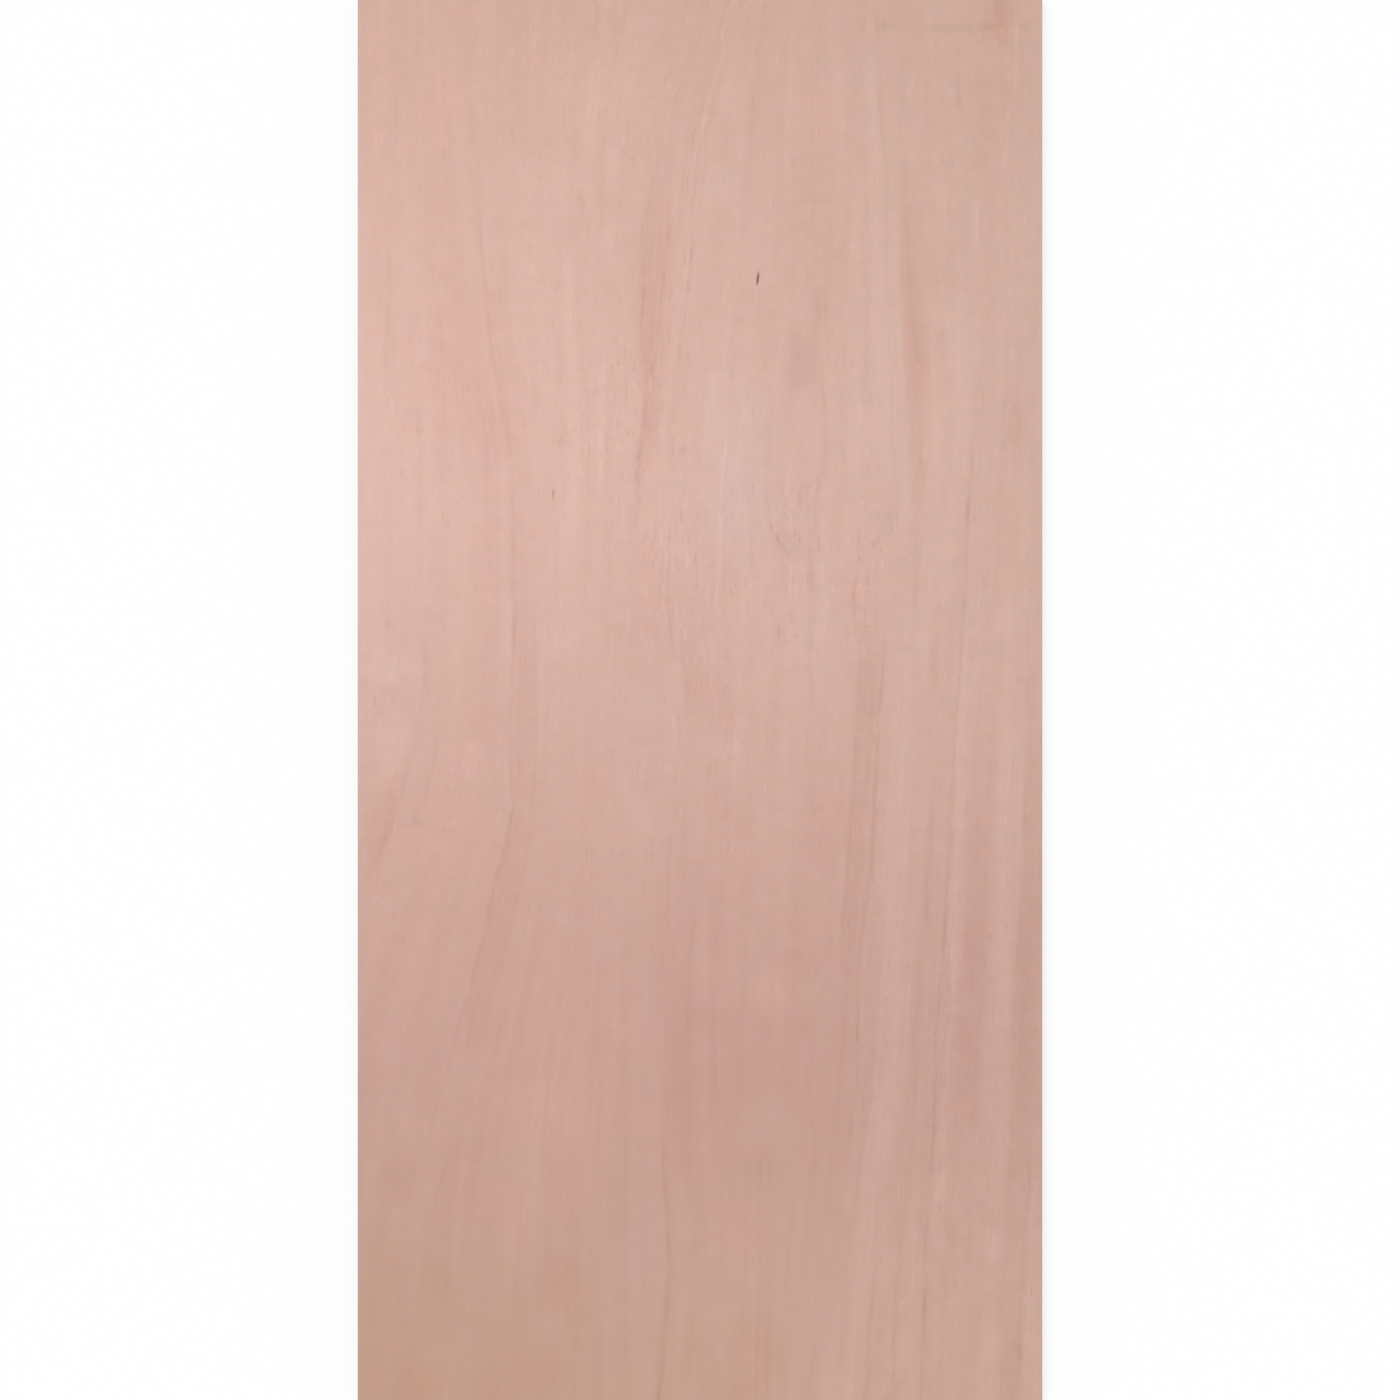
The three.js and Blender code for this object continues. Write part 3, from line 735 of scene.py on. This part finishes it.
def softOval(place, across, down, reachAcross, reachDown, strength):
    # the strength in the middle of an oval, and 0 outside it
    scale, move = (1 / reachAcross, 1 / reachDown, 0), (-across / reachAcross, -down / reachDown, 0)
    return place.vector("MULTIPLY_ADD", scale, move).length().rise(0.2, 1.0, strength, 0.0)


def toneRamp(way, tones):
    return way.ramp([(down / lengthInCm, srgb(*colour)) for down, *colour in tones])


def grainRelief(grain, look):
    # the fibres, and the pores from -1 in a pore to 0 between them
    coarse, fine = [grain.noise(*pattern) * strength for *pattern, strength in look["fibres"]]
    pores = grain.noise(*look["pores"], 0.0).rise(-0.55, -0.3, -1.0, 0.0)
    return coarse + fine, pores


def closeVeneer(start, look, colour, fibres, pores):
    roughness = fibres * 0.8 + look["roughness"]
    closeMaterial(start, look, colour, roughness, fibres * look["fibreHeight"] + pores)


def faceMaterial():
    look = faceVeneer
    material, start = newMaterial("sandedFaceVeneer")
    grain = grainMap(start, (1 / cm, 1 / cm, 1))
    place = start.node("ShaderNodeTexCoord", output="Object")
    place = place.vector("MULTIPLY_ADD", (1 / cm, -1 / cm, 0), (-low.x / cm, high.y / cm, 0))
    across, down = place.parts()[:2]
    way = down * (1 / lengthInCm)
    figure = start.node("ShaderNodeAttribute", {"attribute_name": "figure"}, output="Vector")
    flecked, rippled, lively = figure.parts()

    colour = (across * (1 / widthInCm)).blend(toneRamp(way, look["leftTones"]),
                                              toneRamp(way, look["rightTones"]))
    shade = start.node("ShaderNodeAttribute", {"attribute_name": "shade"}, output="Vector")
    streaky = grain.noise(0.7, 30, 15.2, 1.0) * look["streaky"] + 1.0
    colour = shade.vector("MULTIPLY_ADD", streaky, colour)

    totals, streaks = {}, {}
    for hue, ovals in look["ticks"].items():
        for oval in ovals:
            addTone(totals, hue, softOval(place, *oval))
    ragged = across + grain.noise(0.9, 3.0, 12.1, 1.0) * look["ragged"]
    for hue, *streak in look["lines"]:
        addTone(streaks, hue, streakTone(ragged, way, *streak))
    broken = (grain.noise(0.8, 6, 5.7) * look["broken"] + 1.0).atLeast(0.0)
    for hue, streak in streaks.items():
        addTone(totals, hue, streak * broken)
    clustered = (flecked * 0.7 + place.noise(5, 8, 3.3, 1.0).rise(-0.2, 0.4, 0.15, 0.75)) * lively
    for wide, long, seed, strength in look["flecks"]:
        flecks = grain.noise(wide, long, seed, 1.0)
        flecks = flecks.rise(0.34, 0.5, 0.0, -strength) + flecks.rise(-0.52, -0.37, strength, 0.0)
        addTone(totals, "smoke", flecks * clustered)
    for hue, *pattern, strength in look["clouds"]:
        addTone(totals, hue, place.noise(*pattern) * lively * strength)
    for hue, *pattern, strength in look["stripes"]:
        addTone(totals, hue, grain.noise(*pattern) * strength)
    for hue, tone in totals.items():
        amount = [part * look["step"] for part in look["hues"][hue]]
        colour = tone.vector("MULTIPLY_ADD", amount, colour)

    fibres, pores = grainRelief(grain, look)
    ripples = place.noise(2.6, 0.7, 7.7) * rippled * look["rippleDark"]
    colour = colour.shaded((fibres + ripples + pores * look["poreDark"]) * lively + 1.0)
    edgeAway = (across - widthInCm / 2).size()
    rim = edgeAway.rise(widthInCm / 2 - look["rimReach"], widthInCm / 2, 0.0, look["rimGrey"])
    colour = rim.blend(colour, colour.node("ShaderNodeRGBToBW", None, {0: colour}))

    for mark in look["pinMarks"]:
        # the mark leans, so its own across depends on how far down it is
        (markAcross, markDown), (reachAcross, reachDown) = mark["at"], mark["reach"]
        x, y = place.mapped((1, 1, 0), (-markAcross, -markDown, 0)).parts()[:2]
        oval = {0: (x - y * mark["lean"]) * (1 / reachAcross), 1: y * (1 / reachDown)}
        dark = x.node("ShaderNodeCombineXYZ", None, oval).length().fall(0.35, 1.15)
        colour = (dark * mark["darkness"]).blend(colour, srgb(*look["pinColour"]))
    closeVeneer(start, look, colour, fibres, pores)
    return material


def refineShownSide(bm):
    for axis, cuts in enumerate(faceVeneer["shownCuts"]):
        edges = [e for e in bm.edges if runsAlong(e, axis)
                 and all(abs(v.co.z - high.z) < touching for v in e.verts)]
        bmesh.ops.subdivide_edges(bm, edges=edges, cuts=cuts, use_grid_fill=True)


def sinkPinMarks(bm):
    # a few small cells round each mark, and a shallow spindle sunk into them
    for mark in faceVeneer["pinMarks"]:
        (across, down), (reachAcross, reachDown) = mark["at"], mark["reach"]
        middle = Vector((low.x + across * cm, high.y - down * cm, high.z))

        def near(vertex, x, y):
            away = vertex.co - middle
            return abs(away.x) < x * cm and abs(away.y) < y * cm and abs(away.z) < touching

        for area in faceVeneer["pinCells"]:
            edges = [e for e in bm.edges if all(near(v, *area) for v in e.verts)]
            bmesh.ops.subdivide_edges(bm, edges=edges, cuts=faceVeneer["pinCuts"], use_grid_fill=True)
        for vertex in bm.verts:
            if near(vertex, *area):
                x, y = (vertex.co.x - middle.x) / cm, (middle.y - vertex.co.y) / cm
                reach = math.hypot((x - mark["lean"] * y) / reachAcross, y / reachDown)
                vertex.co.z -= mark["depth"] * max(0.0, 1 - reach) ** 0.6


def makeFaceVeneer(edgeMaterials):
    bm = gridSlab(coreTop, high.z, veneerReach, faceVeneer["cells"])
    refineShownSide(bm)
    easeArris(bm, high.z)
    sinkPinMarks(bm)
    paintFace(bm)
    layVeneerMaps(bm, sheet["innerPlies"] + 1, faceGrain, 1)
    finishPiece(bm, "face_veneer", [faceMaterial(), *edgeMaterials])


# The back veneer: a plainer leaf of the same wood

backVeneer = {
    "cells": (50, 80),
    "darkTone": (197, 158, 140),
    "paleTone": (211, 172, 155),
    "roughness": 0.66,
    "specular": 0.25,
    "depth": 0.015 * mm,
    "fibres": [(0.55, 19, 1.9, 0.07), (0.2, 5, 3.4, 0.06)],
    "fibreHeight": 8.0,
    "pores": (0.07, 0.9, 5.1),
    "poreDark": 0.07,
    "swing": 0.02,
}


def backGrain(x, y):
    # grain that swings gently from side to side
    return x + backVeneer["swing"] * noise.noise(Vector((1.2 * x, 0.9 * y, 4.0))), y


def backMaterial():
    look = backVeneer
    material, start = newMaterial("backVeneer")
    grain = grainMap(start, (1 / cm, 1 / cm, 1))
    wide = grain.noise(9, 160, 2.2) * 0.9 + grain.noise(2.2, 70, 6.1) * 0.6 + 0.5
    colour = wide.blend(srgb(*look["darkTone"]), srgb(*look["paleTone"]))
    fibres, pores = grainRelief(grain, look)
    closeVeneer(start, look, colour.shaded(fibres + pores * look["poreDark"] + 1.0), fibres, pores)
    return material


def makeBackVeneer(edgeMaterials):
    bm = gridSlab(low.z, coreBottom, veneerReach, backVeneer["cells"])
    easeArris(bm, low.z)
    layVeneerMaps(bm, 0, backGrain, -1)
    finishPiece(bm, "back_veneer", [backMaterial(), *edgeMaterials])


# The crossed core plies, and the sawn edges of all thirteen

sawnEdge = {
    "cells": (48, 100),
    "longGrain": [(190, 152, 126), (214, 178, 150)],  # the dark and the pale tone
    "endGrain": [(146, 106, 82), (176, 134, 106)],
    "plyTone": 0.5,  # how much the plies differ
    "glueStain": 0.35,  # how dark the wood is beside a glue line
    "poreDark": 0.22,
    "sawMark": 0.05,
    "roughness": 0.78,
    "specular": 0.2,
    "depth": 0.05 * mm,
}
glueLine = {"tone": (96, 62, 44), "roughness": 0.6, "specular": 0.3, "depth": 0.03 * mm}

# where the core's colours are baked: each long edge fills four rows of the map, each short edge two, and
# the two glued sides lie beside each other above them
coreBake = {"rows": (4, 2), "width": (0.008, 0.984), "row": (0.008, 0.07), "rowStep": 0.079,
            "gluedWidth": (0.01, 0.47), "gluedHeight": (0.965, 0.025), "gluedStep": 0.5}


def edgeMaterial(name, endGrain):
    # the edge's grain map holds the way along it in metres, and the number of the ply with the part of
    # its thickness
    material, start = newMaterial(name)
    edge = grainMap(start, (1 / mm, 1, 1))
    height = edge.parts()[1]
    ply = height.math("FLOOR")
    ownTone = ply.node("ShaderNodeTexWhiteNoise", {"noise_dimensions": "1D"}, {"W": ply + 0.5})
    stain = (height - ply - 0.5).size().rise(0.36, 0.5)
    if endGrain:
        cells = edge.node("ShaderNodeTexVoronoi", {"voronoi_dimensions": "2D"},
                          {"Vector": edge.mapped((2.2, 2.6, 1)), "Scale": 1.0})
        pores = cells.fall(0.12, 0.3)
        grainTone = edge.noise(6, 0.5, 2.7) * 0.25 + edge.noise(0.7, 0.35, 5.2) * 0.3
        relief = edge.noise(0.5, 0.4, 1.1) - pores
    else:
        pores = edge.noise(4.5, 0.09, 3.9, 0.0).rise(-0.6, -0.3, 1.0, 0.0)
        grainTone = edge.noise(60, 0.3, 2.7) * 0.3 + edge.noise(14, 0.12, 5.2) * 0.3
        relief = edge.noise(14, 0.12, 5.2) - pores * 0.5
    sawMarks = edge.noise(1.1, 30, 6.3, 1.0)
    tone = ownTone * sawnEdge["plyTone"] + grainTone + stain * sawnEdge["glueStain"] + 0.25
    darkTone, paleTone = sawnEdge["endGrain" if endGrain else "longGrain"]
    colour = tone.blend(srgb(*paleTone), srgb(*darkTone))
    colour = colour.shaded(1.0 - pores * sawnEdge["poreDark"] + sawMarks * sawnEdge["sawMark"])
    roughness = sawMarks * sawnEdge["sawMark"] + sawnEdge["roughness"]
    closeMaterial(start, sawnEdge, colour, roughness, relief + sawMarks * 0.6)
    return material


def glueMaterial():
    material, start = newMaterial("glueLine")
    uneven = grainMap(start, (1 / mm, 1, 1)).noise(9, 2, 1.7)
    colour = (uneven * 0.5 + 0.35).blend(srgb(*glueLine["tone"]), srgb(*sawnEdge["endGrain"][0]))
    closeMaterial(start, glueLine, colour, uneven * 0.08 + glueLine["roughness"], uneven)
    return material


def cutPlies(bm, joints):
    # two cuts round each glue line
    for joint in joints:
        for level in (joint - sheet["glueLine"] / 2, joint + sheet["glueLine"] / 2):
            if coreBottom < level < coreTop:
                everything = [*bm.verts, *bm.edges, *bm.faces]
                bmesh.ops.bisect_plane(bm, geom=everything, plane_co=(0, 0, level), plane_no=(0, 0, 1))


def layCoreMaps(bm, joints):
    grain = bm.loops.layers.uv.new("grain")
    bake = bm.loops.layers.uv.new("OFBake")
    bm.normal_update()
    for face in bm.faces:
        wall = wallOf(face)
        centre = face.calc_center_median()
        crossed = int((centre.z - coreBottom) / sheet["innerPly"]) % 2 == 0
        if wall is None:
            face.material_index = 0
        elif min(abs(centre.z - joint) for joint in joints) < sheet["glueLine"] / 2:
            face.material_index = 2
        else:
            face.material_index = 1 if crossed == (wall == 0) else 0
        for loop in face.loops:
            x, y, z = loop.vert.co
            if wall is None:
                across, along = sheetPart(x, y)
                side = coreBake["gluedStep"] * (face.normal.z > 0)
                loop[grain].uv = (x, y / (20 * cm))
                loop[bake].uv = (side + spread(coreBake["gluedWidth"], across),
                                 spread(coreBake["gluedHeight"], along))
                continue
            along, reach = ((y, halfLength), (x, halfWidth))[wall]
            rows = coreBake["rows"][wall]
            row = min(int(((centre.y, centre.x)[wall] / reach + 1) / 2 * rows), rows - 1)
            part = (along / reach + 1) / 2 * rows - row
            if face.normal[wall] > 0:
                row += rows
            row += 2 * coreBake["rows"][0] * wall
            up = (z - coreBottom) / (coreTop - coreBottom)
            loop[grain].uv = (along, 1 + (z - coreBottom) / sheet["innerPly"])
            loop[bake].uv = (spread(coreBake["width"], part),
                             row * coreBake["rowStep"] + spread(coreBake["row"], up))


def setFibresBack(bm):
    # the plies that the saw cut across stand back, and the glue lines between them waver
    for vertex in bm.verts:
        x, y, z = vertex.co
        plies = (z - coreBottom) / sheet["innerPly"]
        joint = round(plies)
        crossed = min(int(plies), sheet["innerPlies"] - 1) % 2 == 0
        if crossed and abs(x) > halfWidth - mm:
            vertex.co.x -= math.copysign(sheet["fibreSetback"], x)
        if not crossed and abs(y) > halfLength - mm:
            vertex.co.y -= math.copysign(sheet["fibreSetback"], y)
        if 0 < joint < sheet["innerPlies"]:
            vertex.co.z += sheet["glueWave"] * noise.noise(Vector((14 * x, 14 * y, 3.7 * joint)))


def makeCore(edgeMaterials):
    bm = gridSlab(coreBottom, coreTop, (halfWidth, halfLength), sawnEdge["cells"])
    joints = [coreBottom + i * sheet["innerPly"] for i in range(sheet["innerPlies"] + 1)]
    cutPlies(bm, joints)
    layCoreMaps(bm, joints)
    setFibresBack(bm)
    finishPiece(bm, "core_plies", edgeMaterials)


longGrain, endGrain = edgeMaterial("longGrainEdge", False), edgeMaterial("endGrainEdge", True)
makeCore([longGrain, endGrain, glueMaterial()])
makeFaceVeneer([longGrain, endGrain])
makeBackVeneer([longGrain, endGrain])


# Studio

studio = {
    "floorRadius": 30.0,
    "floorBelow": 0.1 * mm,
    "floorTone": 0.98,
    "floorWhite": 0.75,  # the share of the floor that is plain white to the camera
    "floorFade": (2.5, 8.0),  # from where to where it goes to plain white
    "skyStrength": 0.75,
    "sunStrength": 1.0,
    "sunAngle": 30.0,
    "sunTilt": (38.0, 0.0, -140.0),
    "lens": 100.0,
    "sensor": 36.0,
    "trim": 1.9 * mm,  # how much of the sheet's ends the frame leaves out
}


def seenDirectly(start):
    # 1 for rays from the camera and for those that show the surroundings in gloss or glass
    camera = start.node("ShaderNodeLightPath", output="Is Camera Ray")
    return camera.atLeast(camera.other("Is Glossy Ray")).atLeast(camera.other("Is Transmission Ray"))


def floorMaterial():
    material, start = newMaterial("paleFloor")
    place = start.node("ShaderNodeTexCoord", output="Object")
    far = place.length().rise(*studio["floorFade"], studio["floorWhite"], 1.0)
    tone = studio["floorTone"]
    matt = start.node("ShaderNodeBsdfDiffuse", None, {"Color": (tone, tone, tone, 1)})
    white = start.node("ShaderNodeEmission", None, {"Color": (1, 1, 1, 1), "Strength": 1.0})
    surface = start.node("ShaderNodeMixShader", None, {0: seenDirectly(start) * far, 1: matt, 2: white})
    start.node("ShaderNodeOutputMaterial", None, {"Surface": surface})
    return material


def makeFloor():
    bm = bmesh.new()
    bmesh.ops.create_circle(bm, cap_ends=True, segments=96, radius=studio["floorRadius"],
                            matrix=Matrix.Translation((0, 0, low.z - studio["floorBelow"])))
    addMesh(bm, "studio_floor", [floorMaterial()])


def makeLight():
    world = bpy.data.worlds.new("studio")
    world.use_nodes = True
    world.node_tree.nodes.clear()
    bpy.context.scene.world = world
    start = Value(world.node_tree)
    sky = studio["skyStrength"]
    strength = seenDirectly(start) * (1 - sky) + sky
    light = start.node("ShaderNodeBackground", None, {"Color": (1, 1, 1, 1), "Strength": strength})
    start.node("ShaderNodeOutputWorld", None, {"Surface": light})

    lamp = bpy.data.lights.new("soft_sun", "SUN")
    lamp.energy = studio["sunStrength"]
    lamp.angle = math.radians(studio["sunAngle"])
    sun = addObject("soft_sun", lamp)
    sun.rotation_euler = Euler([math.radians(turn) for turn in studio["sunTilt"]])


def makeCamera():
    # straight above the middle of the sheet, so far up that its length fills the frame
    camera = bpy.data.cameras.new("camera")
    camera.lens, camera.sensor_width = studio["lens"], studio["sensor"]
    eye = addObject("camera", camera)
    filled = 2 * (veneerReach[1] - sheet["arris"] - studio["trim"])
    eye.location = (0, 0, high.z + filled * studio["lens"] / studio["sensor"])
    bpy.context.scene.camera = eye


makeFloor()
makeLight()
makeCamera()
bpy.context.scene.view_settings.view_transform = "Standard"
print("studio: floor, sky, sun and camera")
